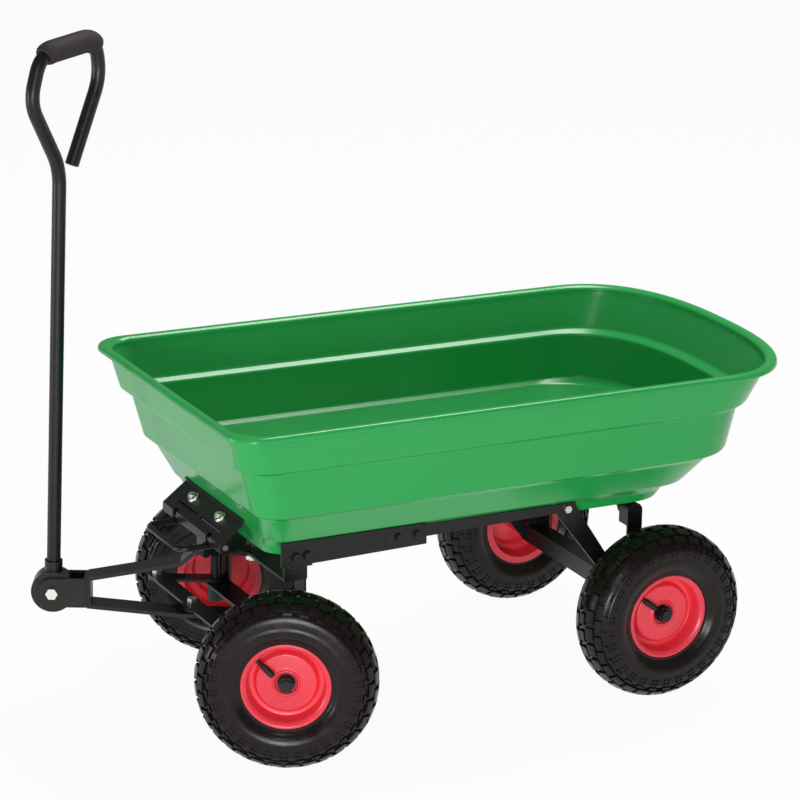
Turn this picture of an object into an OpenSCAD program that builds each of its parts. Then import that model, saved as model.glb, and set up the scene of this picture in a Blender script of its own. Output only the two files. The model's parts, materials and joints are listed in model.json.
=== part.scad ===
// Tipping dump cart: a moulded tub hinged on a steel chassis, with four
// pneumatic wheels, parallel-link steering and a folding pull handle.
// X points forward, Y to the cart's left, Z up. The origin is on the ground
// under the middle of the rear axle. All sizes are in millimetres.

/* [Wheels] */
// Overall diameter of a tyre
wheel_d = 260; // [240:2:290]
// Width of a tyre
tyre_w = 82; // [76:1:92]
// Thickness of the tyre's wall
tyre_wall = 5; // [4:0.5:8]
// Diameter of the rim over its flanges
rim_d = 128; // [120:1:136]
// Width of the rim over its flanges
rim_w = 62; // [58:1:66]
// Thickness of the pressed rim
rim_t = 3; // [2:0.5:4]
// Diameter of the axles
axle_d = 16; // [12:1:18]
// Wall of a hub bush
bush_t = 3; // [2:0.5:4]
// Wall of the hub tube
hub_t = 4; // [3:0.5:6]
// Length of the hub inboard of the wheel's middle plane
hub_in = 42; // [38:1:50]
// Length of the hub outboard of the wheel's middle plane
hub_out = 12; // [8:1:16]
// Wall of the inner tube
tube_skin = 2.5; // [1.5:0.5:3]
// Diameter of the valve stem
valve_d = 9; // [7:0.5:11]

/* [Chassis] */
// Distance from the rear axle to the kingpins
wheelbase = 558; // [500:2:620]
// Distance between the middle planes of the rear wheels
rear_track = 435; // [425:1:470]
// Distance between the kingpins
kingpin_span = 254; // [240:2:270]
// Distance from a kingpin to the middle plane of its wheel
stub_len = 98; // [92:1:110]
// Thickness of the frame's steel plate
plate_t = 4; // [3:0.5:5]
// Height of the front beam's top face
beam_z = 152; // [148:1:156]
// Depth of the front beam, front to back
beam_d = 36; // [34:1:42]
// Height of the top of the upper cross plate
cross_z = 250; // [246:1:256]
// Outer face of the front rails, from the middle of the cart
rail_y = 165; // [160:1:172]
// Height of the front rails' lower edge
front_rail_z = 276; // [272:1:280]
// Height of the rear rails' lower edge
rear_rail_z = 286; // [283:1:290]
// Thickness of the rails' steel
rail_t = 3; // [2:0.5:4]
// Rear end of the front rails
front_rail_x0 = 360; // [340:5:380]
// Front end of the front rails
front_rail_x1 = 590; // [580:2:610]
// Rear end of the rear rails
rear_rail_x0 = 112; // [105:1:130]
// Front end of the rear rails
rear_rail_x1 = 420; // [410:2:440]
// Side of the square section of the rear axle beam
axle_beam = 28; // [24:1:32]
// Distance of the rear posts from the middle of the cart
post_y = 134; // [128:1:138]
// Side of a rear post
post_w = 25; // [20:1:28]
// Width of a diagonal brace
brace_w = 28; // [22:1:32]

/* [Steering] */
// Angle the wheels are turned to the right at rest
steer = 28.5; // [0:0.5:30]
// Length of the steering arms
arm_len = 88; // [80:1:96]
// Width of the steering arms and of the tie rod
arm_w = 26; // [22:1:30]
// Width of the tongue's flat bar
tongue_w = 34; // [28:1:38]
// Thickness of the tongue's flat bar
tongue_t = 6; // [4:0.5:8]
// Distance from the tongue's pivot to its front cross piece
tongue_r = 240; // [220:2:260]
// Diameter of the pivot bolts
pivot_d = 12; // [10:0.5:14]

/* [Handle] */
// Distance from the tongue's pivot to the handle's pivot
handle_r = 290; // [285:1:310]
// Height of the handle's pivot
handle_z = 178; // [172:1:186]
// Diameter of the handle's drum
drum_d = 62; // [56:1:68]
// Width of the handle's drum
drum_w = 30; // [26:1:34]
// Diameter of the handle's tube
tube_d = 20; // [18:1:24]
// Wall of the handle's tube
tube_wall = 2; // [1.5:0.5:3]
// Height of the grip's middle line above the handle's pivot
handle_h = 800; // [700:5:880]
// Angle the handle leans back at rest
handle_lean = 2; // [0:0.5:4]
// Angle the loop is turned about the stem
loop_turn = 45; // [0:5:90]
// Width of the handle's loop between the middles of its legs
loop_w = 136; // [120:2:160]
// Diameter of the grip
grip_d = 29; // [26:1:34]

/* [Tub] */
// Length of the tub's rim
tub_l = 946; // [900:2:990]
// Width of the tub's rim
tub_w = 526; // [516:2:540]
// Height of the tub from its floor to its rim
tub_h = 216; // [200:1:240]
// Front edge of the tub's rim
tub_x1 = 706; // [700:1:720]
// Nose-up angle of the tub at rest
tub_pitch = 1.22; // [0:0.02:2]
// Height of the tub's bottom above the ground at the rear rails' end
tub_z = 280.5; // [279:0.5:283]
// Wall of the tub
tub_wall = 4; // [3:0.5:5]
// Width of the rolled lip
lip_w = 13; // [10:1:16]

/* [Latch] */
// Width of the latch bracket under the tub's front
latch_w = 220; // [200:2:240]
// Front edge of the latch bracket
latch_x = 655; // [648:1:662]
// Diameter of the latch loop's rod
loop_rod = 9; // [7:0.5:11]
// Width of the latch loop
latch_loop_w = 124; // [110:2:136]
// Reach of the latch loop ahead of its bracket
latch_reach = 44; // [36:1:56]

/* [Fits] */
// Radial clearance of a running fit
run = 0.05; // [0.02:0.01:0.1]
// Clearance between moving bodies
gap = 0.4; // [0.3:0.05:0.8]

/* [Hidden] */
$fn = 48;
eps = 0.01;
black = [0.08, 0.08, 0.08];
zinc = [0.75, 0.75, 0.72];
green = [0.02, 0.42, 0.14];
red = [0.85, 0.1, 0.16];
rubber = [0.05, 0.05, 0.05];

axle_z = wheel_d / 2;
axle_r = axle_d / 2;
bush_r = axle_r + run + bush_t;
hub_r = bush_r + hub_t;
rim_r = rim_d / 2;
barrel_r = rim_r - 7;
kingpin_y = kingpin_span / 2;
tub_x0 = tub_x1 - tub_l;
pin_r = 5;
bolt_r = 4;

// Solids used by several pieces
module rod_y(r, y0, y1) { translate([0, y0, 0]) rotate([-90, 0, 0]) cylinder(r = r, h = y1 - y0); }
module rod_z(r, z0, z1) { translate([0, 0, z0]) cylinder(r = r, h = z1 - z0); }
module block(x0, x1, y0, y1, z0, z1) { translate([x0, y0, z0]) cube([x1 - x0, y1 - y0, z1 - z0]); }
module hex_y(r, y0, y1) { translate([0, y0, 0]) rotate([-90, 0, 0]) cylinder(r = r, h = y1 - y0, $fn = 6); }
module hex_z(r, z0, z1) { translate([0, 0, z0]) cylinder(r = r, h = z1 - z0, $fn = 6); }
// An outline in X and Z, extruded between two Y planes
module slab(points, y0, y1) { translate([0, y1, 0]) rotate([90, 0, 0]) linear_extrude(y1 - y0) polygon(points); }
module mirrored() {
    children();
    mirror([0, 1, 0]) children();
}

// The outline of a strip of thickness t on the left of a bent path
function unit(v) = v / norm(v);
function normal(a, b) = let (d = unit(b - a)) [-d[1], d[0]];
function mitre(p, i, t) = let (n = len(p) - 1, a = normal(p[max(i - 1, 0)], p[max(i, 1)]),
    b = normal(p[min(i, n - 1)], p[min(i + 1, n)])) p[i] + t * (a + b) / (1 + a * b);
function strip(p, t) = concat(p, [for (i = [len(p) - 1:-1:0]) mitre(p, i, t)]);

// A wheel's middle, with its outboard side along +Y
module at_rear(side) { translate([0, side * rear_track / 2, axle_z]) scale_side(side) children(); }
module at_knuckle(side) { translate([wheelbase, side * kingpin_y, 0]) rotate(-steer) scale_side(side) children(); }
module at_front(side) { at_knuckle(side) translate([0, stub_len, axle_z]) children(); }
module scale_side(side) { if (side > 0) children(); else mirror([0, 1, 0]) children(); }
module at_tongue() { translate([wheelbase, 0, 0]) rotate(-steer) children(); }
module at_handle() { at_tongue() translate([handle_r, 0, handle_z]) rotate([0, -handle_lean, 0]) children(); }

// Wheels. A tyre's section is a rounded oval between its bead and its crown
bead_r = barrel_r + 0.3;
section_n = 2.6;
section_c = (wheel_d / 2 + bead_r) / 2;
function power(v, e) = sign(v) * pow(abs(v), e);
function section(a, inset) = [section_c + (wheel_d / 2 - section_c - inset) * power(sin(a), 2 / section_n),
    (tyre_w / 2 - inset) * power(cos(a), 2 / section_n)];
function section_points(inset, low, step) = [for (a = [-low:step:180 + low]) section(a, inset)];
bead_a = 62;
bead_y = rim_w / 2 - rim_t - 0.4;
bead_top = rim_r + 0.6;
bead_w = 8;
module ring_of(points) { rotate([-90, 0, 0]) rotate_extrude() polygon(points); }

module tyre() {
    side = [[bead_r, bead_y], [bead_top, bead_y], [bead_top, rim_w / 2]];
    crown = [for (p = section_points(0, bead_a, 8)) if (p[0] > bead_top + 2) p];
    inner = section_points(tyre_wall, bead_a, 8);
    far_side = [for (i = [2:-1:0]) [side[i][0], -side[i][1]]];
    lining = [for (i = [len(inner) - 1:-1:0]) inner[i]];
    color(rubber) ring_of(concat(side, crown, far_side, [[bead_r, bead_w - bead_y]], lining, [[bead_r, bead_y - bead_w]]));
}

valve_from = [rim_r + 6, 6];
valve_to = [hub_r + 8, 25];
valve_tilt = atan2(valve_to[1] - valve_from[1], valve_from[0] - valve_to[0]);
valve_l = norm(valve_to - valve_from);
valve_turn = 35;
module at_valve() {
    rotate([0, valve_turn, 0]) translate([valve_from[0], valve_from[1], 0])
        rotate([0, 0, -valve_tilt]) rotate([0, -90, 0]) children();
}

module inner_tube() {
    color(rubber) {
        rotate([-90, 0, 0]) rotate_extrude() difference() {
            polygon(section_points(tyre_wall + 0.3, bead_a, 10));
            polygon(section_points(tyre_wall + 0.3 + tube_skin, bead_a, 10));
        }
        at_valve() cylinder(d = valve_d, h = valve_l);
    }
}

module rim() {
    disc_y = -2;
    dish = [[hub_r - 1, disc_y], [hub_r + 8, disc_y], [barrel_r - 9, disc_y + 8], [barrel_r - rim_t + 0.5, disc_y + 8]];
    flange = [[barrel_r - rim_t, -rim_w / 2], [rim_r, -rim_w / 2], [rim_r, -rim_w / 2 + rim_t],
        [barrel_r, -rim_w / 2 + rim_t], [barrel_r, rim_w / 2 - rim_t], [rim_r, rim_w / 2 - rim_t],
        [rim_r, rim_w / 2], [barrel_r - rim_t, rim_w / 2]];
    color(red) difference() {
        union() {
            ring_of(flange);
            ring_of(strip(dish, rim_t));
            ring_of([[bush_r, -hub_in], [hub_r, -hub_in], [hub_r, hub_out], [bush_r, hub_out]]);
        }
        at_valve() translate([0, 0, -1]) cylinder(d = valve_d + 1, h = valve_l / 2);
    }
}

module bushes() {
    inner = axle_r + run;
    color([0.8, 0.78, 0.72]) for (span = [[-hub_in, -hub_in + 20], [hub_out - 20, hub_out]])
        ring_of([[inner, span[0]], [bush_r - 0.02, span[0]], [bush_r - 0.02, span[1]], [inner, span[1]]]);
}

nut_h = 10;
module wheel_nut() {
    color(zinc) difference() {
        union() {
            rod_y(axle_r + 5, hub_out + gap, hub_out + gap + 2);
            hex_y(axle_r + 4, hub_out + gap + 2, hub_out + gap + 2 + nut_h);
        }
        rod_y(axle_r + 0.02, hub_out, hub_out + nut_h + 6);
    }
}
axle_end = hub_out + nut_h + 6;

// Front steering
knuckle_top = 214;
spindle_r = 8;
arm_z = beam_z + gap;
module knuckle() {
    collar_y = stub_len - hub_in - gap;
    color(black) difference() {
        union() {
            rod_z(spindle_r, axle_z - spindle_r, knuckle_top);
            rod_z(spindle_r + 5, axle_z - spindle_r, beam_z - plate_t - gap);
            translate([0, 0, axle_z]) rod_y(axle_r, 0, stub_len + axle_end);
            translate([0, 0, axle_z]) rod_y(axle_r + 6, collar_y - 6, collar_y);
            rod_z(arm_w / 2, arm_z, arm_z + plate_t);
            block(0, arm_len, -arm_w / 2, arm_w / 2, arm_z, arm_z + plate_t);
            translate([arm_len, 0, 0]) rod_z(arm_w / 2, arm_z, arm_z + plate_t);
        }
        translate([arm_len, 0, 0]) rod_z(bolt_r + run, arm_z - 1, arm_z + plate_t + 1);
    }
}

tie_z = arm_z + plate_t + gap;
function pin_place(y) = [wheelbase + arm_len * cos(steer), y - arm_len * sin(steer), 0];
module tie_rod() {
    color(black) difference() {
        union() {
            translate(pin_place(0)) block(-arm_w / 2, arm_w / 2, -kingpin_y, kingpin_y, tie_z, tie_z + plate_t);
            for (y = [-kingpin_y, kingpin_y]) translate(pin_place(y)) rod_z(arm_w / 2, tie_z, tie_z + plate_t);
        }
        for (y = [-kingpin_y, 0, kingpin_y])
            translate(pin_place(y)) rod_z(bolt_r + 0.02, tie_z - 1, tie_z + plate_t + 1);
    }
}

module tie_rod_bolts() {
    color(zinc) for (y = [-kingpin_y, 0, kingpin_y]) translate(pin_place(y)) {
        rod_z(bolt_r, arm_z - gap, tie_z + plate_t + eps);
        hex_z(bolt_r + 3.5, tie_z + plate_t, tie_z + plate_t + 6);
    }
}

// The tongue is one flat bar bent into a hairpin, with an eye on each pivot
fork_top = cross_z - plate_t - gap;
fork_low = beam_z - plate_t - gap;
function tongue_path() = [[0, fork_low - tongue_t], [100, fork_low - tongue_t], [tongue_r, handle_z - 24],
    [tongue_r, handle_z + 24], [104, fork_top - 18], [84, fork_top], [0, fork_top]];
module tongue() {
    carrier_z = arm_z;
    color(black) at_tongue() difference() {
        union() {
            slab(strip(tongue_path(), tongue_t), -tongue_w / 2, tongue_w / 2);
            rod_z(tongue_w / 2, fork_low - tongue_t, fork_low);
            rod_z(tongue_w / 2, fork_top - tongue_t, fork_top);
            translate([arm_len, 0, 0]) rod_z(arm_w / 2, fork_low - eps, carrier_z + plate_t);
        }
        rod_z(pivot_d / 2 + run, fork_low - 20, fork_low + 1);
        rod_z(pivot_d / 2 + run, fork_top - 20, fork_top + 1);
        translate([arm_len, 0, 0]) rod_z(bolt_r + run, fork_low - 20, carrier_z + plate_t + 1);
    }
}

module tongue_pivot_bolts() {
    color(zinc) translate([wheelbase, 0, 0]) {
        rod_z(pivot_d / 2, fork_low - tongue_t - 3, beam_z + eps);
        hex_z(pivot_d / 2 + 4, fork_low - tongue_t - 10, fork_low - tongue_t - gap);
        hex_z(pivot_d / 2 + 4, beam_z, beam_z + 7);
        rod_z(pivot_d / 2, fork_top - tongue_t - 3, cross_z + eps);
        hex_z(pivot_d / 2 + 4, fork_top - tongue_t - 10, fork_top - tongue_t - gap);
        hex_z(pivot_d / 2 + 4, cross_z, cross_z + 7);
    }
}

// Pull handle
cheek_t = 4;
bracket_h = 44;
module handle_bracket() {
    inner = drum_w / 2 + gap;
    outer = inner + cheek_t;
    back = tongue_r + 0.02;
    color(black) at_tongue() difference() {
        union() {
            block(back, back + cheek_t, -outer, outer, handle_z - bracket_h / 2, handle_z + bracket_h / 2);
            mirrored() block(back, handle_r, inner, outer, handle_z - bracket_h / 2, handle_z + bracket_h / 2);
            mirrored() translate([handle_r, 0, handle_z]) rod_y(bracket_h / 2, inner, outer);
        }
        translate([handle_r, 0, handle_z]) rod_y(pin_r + 0.02, -outer - 1, outer + 1);
    }
}

module handle_pivot_bolt() {
    outer = drum_w / 2 + gap + cheek_t;
    color(zinc) at_tongue() translate([handle_r, 0, handle_z]) {
        rod_y(pin_r, -outer - 6, outer + eps);
        hex_y(pin_r + 4, outer, outer + 6);
        hex_y(pin_r + 4, -outer - 6, -outer);
    }
}

module handle_drum() {
    color(black) at_handle() difference() {
        union() {
            rod_y(drum_d / 2, -drum_w / 2, drum_w / 2);
            rod_z(tube_d / 2 + 3, 0, drum_d / 2 + 14);
        }
        rod_y(pin_r + run, -drum_w, drum_w);
        rod_z(tube_d / 2 + 0.02, drum_d / 2 - 10, drum_d);
    }
}

// The handle's tube: a stem, then one leg bent out round the grip to a cut end
loop_y = loop_w / 2;
loop_low = handle_h - 170;
leg_low = handle_h - 70;
stem_low = drum_d / 2 - 10 + 0.02;
bend_r = 26;
leg_bend_r = 40;
bend_step = 11.25;
tube_n = 24;
// Corners of the tube's middle line, each with the radius of its bend
function tube_path() = [[0, stem_low, 0], [0, loop_low, leg_bend_r], [loop_y, leg_low, leg_bend_r],
    [loop_y, handle_h, bend_r], [-loop_y, handle_h, bend_r], [-loop_y, leg_low, leg_bend_r],
    [-tube_d * 1.1, loop_low + 6, 0]];
function place(p) = [p[0], p[1]];
function heading(p, i) = unit(place(p[i + 1]) - place(p[i]));
function turn(p, i) = let (u = heading(p, i - 1), v = heading(p, i)) asin(u[0] * v[1] - u[1] * v[0]);
function cut(p, i) = p[i][2] == 0 ? 0 : p[i][2] * tan(abs(turn(p, i)) / 2);

// Stations along the path, each a place and a heading, with the bends in small steps
function centre(p, i) = let (u = heading(p, i - 1))
    place(p[i]) - u * cut(p, i) + sign(turn(p, i)) * p[i][2] * [-u[1], u[0]];
function bend_stations(p, i) = let (u = heading(p, i - 1), n = ceil(abs(turn(p, i)) / bend_step))
    [for (k = [0:n]) let (a = atan2(u[1], u[0]) + turn(p, i) * k / n)
        [centre(p, i) + sign(turn(p, i)) * p[i][2] * [sin(a), -cos(a)], a]];
function end_station(p, i, j) = [place(p[i]), atan2(heading(p, j)[1], heading(p, j)[0])];
function stations(p) = let (n = len(p) - 1) concat([end_station(p, 0, 0)],
    [for (i = [1:n - 1]) each bend_stations(p, i)], [end_station(p, n, n - 1)]);
function tube_ring(s, r) = [for (i = [0:tube_n - 1]) let (t = 360 * i / tube_n)
    [s[0][0] - sin(s[1]) * cos(t) * r, -sin(t) * r, s[0][1] + cos(s[1]) * cos(t) * r]];

module handle_tube() {
    way = stations(tube_path());
    outer = [for (s = way) tube_ring(s, tube_d / 2)];
    inner = [for (i = [len(way) - 1:-1:0]) tube_ring(way[i], tube_d / 2 - tube_wall)];
    color(black) at_handle() rotate(loop_turn) loft(concat(outer, inner), true);
}

module handle_grip() {
    half = loop_y - bend_r - 1;
    color([0.16, 0.13, 0.13]) at_handle() rotate(loop_turn) translate([0, 0, handle_h]) rotate([0, 0, -90])
        difference() {
            rod_y(grip_d / 2, -half, half);
            rod_y(tube_d / 2 + 0.02, -half - 1, half + 1);
        }
}

// Front frame: a portal of two legs, a lower beam and an upper cross plate
leg_x0 = wheelbase - beam_d / 2;
leg_half = 15;
spindle_plate_z = 205;
module front_frame() {
    end_y = kingpin_y + beam_d / 2;
    foot_y = rail_y - rail_t - gap;
    x1 = wheelbase + beam_d / 2;
    color(black) difference() {
        union() {
            block(leg_x0, x1, -end_y, end_y, beam_z - plate_t, beam_z);
            block(leg_x0, x1, -end_y, end_y, cross_z - plate_t, cross_z);
            mirrored() {
                block(leg_x0, leg_x0 + plate_t, kingpin_y - leg_half, kingpin_y + leg_half, beam_z - 1, cross_z);
                block(leg_x0, x1, kingpin_y - leg_half, kingpin_y + leg_half, spindle_plate_z,
                    spindle_plate_z + plate_t);
                block(leg_x0, x1, end_y - plate_t, end_y, cross_z - 1, front_rail_z);
                block(leg_x0, x1, end_y - plate_t, foot_y, front_rail_z - plate_t, front_rail_z);
                block(leg_x0, x1, foot_y - plate_t, foot_y, front_rail_z - 1, front_rail_z + 22);
            }
        }
        mirrored() translate([wheelbase, kingpin_y, 0]) {
            rod_z(spindle_r + run, beam_z - plate_t - 1, beam_z + 1);
            rod_z(spindle_r + run, spindle_plate_z - 1, spindle_plate_z + plate_t + 1);
        }
        translate([wheelbase, 0, 0]) rod_z(pivot_d / 2 + 0.02, beam_z - plate_t - 1, cross_z + 1);
        mirrored() for (x = frame_bolt_x) translate([x, 0, frame_bolt_z]) rod_y(bolt_r + 0.02, foot_y - 9, rail_y);
    }
}
frame_bolt_x = [wheelbase - 9, wheelbase + 9];
frame_bolt_z = front_rail_z + 13;

module cross_bolt(y0, y1) {
    rod_y(bolt_r, y0 - 6, y1 + eps);
    hex_y(bolt_r + 3, y1, y1 + 5);
    hex_y(bolt_r + 3, y0 - 6, y0);
}

module front_frame_bolts() {
    inner = rail_y - rail_t - gap - plate_t;
    color(zinc) mirrored() for (x = frame_bolt_x) translate([x, 0, frame_bolt_z]) cross_bolt(inner, rail_y);
}

// The rails' top edge follows the tub's sloping lower wall
function tub_bottom(x) = tub_z + (x - rear_rail_x0) * tan(tub_pitch);
function rail_top(x, y) = tub_bottom(x) + foot_h + (y - floor_w / 2 - 2) * seat_slope - 1;
joint_x = [front_rail_x0 + 15, front_rail_x0 + 45];
joint_z = rear_rail_z + 7;

module front_rail() {
    inner = rail_y - rail_t;
    web = [[front_rail_x0, front_rail_z], [front_rail_x1, front_rail_z],
        [front_rail_x1, rail_top(front_rail_x1, inner)], [front_rail_x0, rail_top(front_rail_x0, inner)]];
    foot = floor_w / 2 - 12;
    color(black) difference() {
        union() {
            slab(web, inner, rail_y);
            block(front_rail_x0, leg_x0 - 2, foot, rail_y, front_rail_z, front_rail_z + rail_t);
        }
        for (x = joint_x) translate([x, 0, joint_z]) rod_y(bolt_r + 0.02, inner - 9, rail_y + 1);
        for (x = frame_bolt_x) translate([x, 0, frame_bolt_z]) rod_y(bolt_r + 0.02, inner - 9, rail_y + 1);
    }
}

rear_web_y = rail_y - rail_t;
brace_bolt = [rear_rail_x0 + 14, rear_rail_z + 4.5];
brace_bolt_r = 3;
brace_t = 4;
module rear_rail() {
    inner = rear_web_y - rail_t;
    web = [[rear_rail_x0, rear_rail_z], [rear_rail_x1, rear_rail_z],
        [rear_rail_x1, rail_top(rear_rail_x1, inner)], [rear_rail_x0, rail_top(rear_rail_x0, inner)]];
    color(black) difference() {
        union() {
            slab(web, inner, rear_web_y);
            block(brace_bolt[0] + 16, rear_rail_x1, floor_w / 2 + 3, rear_web_y, rear_rail_z, rear_rail_z + rail_t);
        }
        for (x = joint_x) translate([x, 0, joint_z]) rod_y(bolt_r + 0.02, inner - 9, rail_y);
        translate([brace_bolt[0], 0, brace_bolt[1]]) rod_y(brace_bolt_r + 0.02, inner - 9, rail_y);
    }
}

module rail_joint_bolts() {
    color(zinc) mirrored() for (x = joint_x) translate([x, 0, joint_z]) {
        rod_y(bolt_r, rear_web_y - rail_t - eps, rail_y + eps);
        hex_y(bolt_r + 2, rail_y, rail_y + 4);
    }
}

// Rear frame: an axle beam with two posts that carry the tub's hinge
hinge_z = 262;
module rear_frame() {
    beam_end = rear_track / 2 - hub_in - 10;
    half = axle_beam / 2;
    color(black) difference() {
        union() {
            difference() {
                block(-half, half, -beam_end, beam_end, axle_z - half, axle_z + half);
                block(-half + 3, half - 3, -beam_end + 4, beam_end - 4, axle_z - half + 3, axle_z + half - 3);
            }
            mirrored() {
                difference() {
                    block(-post_w / 2, post_w / 2, post_y - post_w / 2, post_y + post_w / 2, axle_z + half - 1, hinge_z);
                    block(-post_w / 2 + 3, post_w, post_y - post_w / 2 - 1, post_y + post_w / 2 - 3,
                        axle_z + half + 0.5, hinge_z - 22);
                }
                translate([0, 0, hinge_z]) rod_y(post_w / 2, post_y - post_w / 2, post_y + post_w / 2);
            }
        }
        translate([0, 0, axle_z]) rod_y(axle_r + 0.02, -beam_end - 1, beam_end + 1);
        translate([0, 0, hinge_z]) rod_y(pin_r + 0.02, -beam_end, beam_end);
    }
}

module rear_axle() {
    reach = rear_track / 2 + axle_end;
    collar = rear_track / 2 - hub_in - gap;
    color(zinc) translate([0, 0, axle_z]) {
        rod_y(axle_r, -reach, reach);
        mirrored() rod_y(axle_r + 6, collar - 5, collar);
    }
}

module brace() {
    outer = rear_web_y - rail_t;
    foot = [axle_beam / 2, axle_z + axle_beam / 2];
    head = brace_bolt + [brace_w / 2, 4];
    bar = [foot, foot + [0, -brace_w], head + [0, -brace_w / 2], head, head + [-brace_w, 0]];
    color(black) difference() {
        slab(bar, outer - brace_t, outer - eps);
        translate([brace_bolt[0], 0, brace_bolt[1]]) rod_y(brace_bolt_r + 0.02, outer - 9, rail_y);
    }
}

module brace_bolts() {
    color(zinc) mirrored() translate([brace_bolt[0], 0, brace_bolt[1]]) {
        rod_y(brace_bolt_r, rear_web_y - rail_t - brace_t, rear_web_y + eps);
        hex_y(brace_bolt_r + 3, rear_web_y, rear_web_y + 4);
    }
}

// The tub's hinge: two channel brackets under its floor, on pins through the posts
hinge_in = post_y - post_w / 2 - gap;
module hinge_brackets() {
    ear = 5;
    color(black) mirrored() difference() {
        union() {
            translate([0, 0, hinge_z]) rod_y(13, hinge_in - ear, hinge_in);
            slab([[-13, hinge_z], [13, hinge_z], [24, hinge_top(24)], [-24, hinge_top(-24)]], hinge_in - ear, hinge_in);
            slab([[-24, hinge_top(-24) - 3], [24, hinge_top(24) - 3], [24, hinge_top(24)], [-24, hinge_top(-24)]],
                hinge_in - 40, hinge_in);
        }
        translate([0, 0, hinge_z]) rod_y(pin_r + run, hinge_in - 20, hinge_in + 1);
    }
}
function hinge_top(x) = tub_bottom(x) - 0.02;

module hinge_bracket_bolts() {
    color(zinc) at_tub() mirrored() for (x = [-14, 14]) translate([x - rear_rail_x0, hinge_in - 24, 0])
        hex_z(bolt_r + 3, -8, -3.1);
}

module hinge_pins() {
    color(zinc) mirrored() translate([0, 0, hinge_z]) {
        rod_y(pin_r, hinge_in - 9, post_y + post_w / 2 + eps);
        hex_y(pin_r + 3, post_y + post_w / 2, post_y + post_w / 2 + 5);
    }
}

// The tub: stepped bands lofted from outlines with a square front and a bowed rear
floor_w = 300;
foot_h = 12;
seat_slope = 1.05;
step_low = 74;
step_high = 148;
lip_drop = 10;
rim_wall = tub_w / 2 - lip_w;
front_wall = tub_x1 - lip_w;
rear_wall = tub_x0 + lip_w;
// Each band: height, half width, front edge, rear edge
bands = [[0, floor_w / 2, front_wall - 93, rear_wall + 147], [foot_h, floor_w / 2 + 2, front_wall - 89, rear_wall + 137],
    [step_low, rim_wall - 38, front_wall - 59, rear_wall + 74], [step_low + 6, rim_wall - 30, front_wall - 47, rear_wall + 54],
    [step_high, rim_wall - 23, front_wall - 27, rear_wall + 40], [step_high + 6, rim_wall - 13, front_wall - 14, rear_wall + 27],
    [tub_h - lip_drop, rim_wall, front_wall, rear_wall]];
function outline(w, x1, x0, corner) = let (n = 10, m = 14, xs = x0 + w * 0.62) concat(
    [for (i = [0:n]) let (a = 90 * i / n) [x1 - corner + corner * cos(a), w - corner + corner * sin(a)]],
    [for (i = [0:m]) let (a = 90 * i / m) [xs - (xs - x0) * power(sin(a), 0.8), w * power(cos(a), 0.8)]],
    [for (i = [m - 1:-1:0]) let (a = 90 * i / m) [xs - (xs - x0) * power(sin(a), 0.8), -w * power(cos(a), 0.8)]],
    [for (i = [n:-1:0]) let (a = 90 * i / n) [x1 - corner + corner * cos(a), -w + corner - corner * sin(a)]]);
function ring(b, out, h) = [for (p = outline(b[1] + out, b[2] + out, b[3] - out, 30 + b[0] * 0.08))
    [p[0] - rear_rail_x0, p[1], h]];
module at_tub() { translate([rear_rail_x0, 0, tub_z]) rotate([0, -tub_pitch, 0]) children(); }

// A skin over a row of rings, either capped at both ends or closed on itself
module loft(rings, closed = false) {
    n = len(rings[0]);
    last = len(rings) - 1;
    points = [for (r = rings) for (p = r) p];
    sides = [for (k = [0:closed ? last : last - 1]) for (i = [0:n - 1])
        let (j = (i + 1) % n, a = k * n, b = (k + 1) % len(rings) * n)
            each [[a + i, b + i, a + j], [a + j, b + i, b + j]]];
    caps = [[for (i = [0:n - 1]) i], [for (i = [n - 1:-1:0]) last * n + i]];
    polyhedron(points, closed ? sides : concat(sides, caps), convexity = 6);
}

module tub() {
    top = bands[len(bands) - 1];
    count = len(bands);
    outer = [for (b = bands) ring(b, 0, b[0])];
    lip = [ring(top, lip_w - 5, tub_h - lip_drop + 2), ring(top, lip_w - 4, tub_h - lip_drop - 6),
        ring(top, lip_w - 1, tub_h - lip_drop - 6), ring(top, lip_w, tub_h - lip_drop + 2), ring(top, lip_w - 1.5, tub_h - 3),
        ring(top, lip_w - 5, tub_h), ring(top, 2, tub_h), ring(top, -tub_wall, tub_h - 5)];
    inner = [for (i = [count - 1:-1:1]) ring(bands[i], -tub_wall, bands[i][0] + (i > 1 ? -1 : 2))];
    floor_ring = [ring(bands[0], -tub_wall, tub_wall)];
    color(green) at_tub() loft(concat(outer, lip, inner, floor_ring));
}

// Latch at the tub's front
wall_slope = (bands[2][2] - bands[1][2]) / (bands[2][0] - bands[1][0]);
function wall_x(h) = bands[1][2] + (h - foot_h) * wall_slope;
latch_z = -8;
hook_l = 36;
latch_pin_x = latch_x - 20;
shelf_t = 3;
shelf_seat = shelf_t * norm([1, wall_slope]) + 0.1;
function latch_path() = [[wall_x(60) + shelf_seat, 60], [wall_x(36) + shelf_seat, 36], [latch_x, 8], [latch_x, 0]];
leg_y = latch_loop_w / 2 - loop_rod / 2;
cheek_y = latch_loop_w / 2 + 8;
module at_latch() { at_tub() translate([-rear_rail_x0, 0, 0]) children(); }

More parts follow.
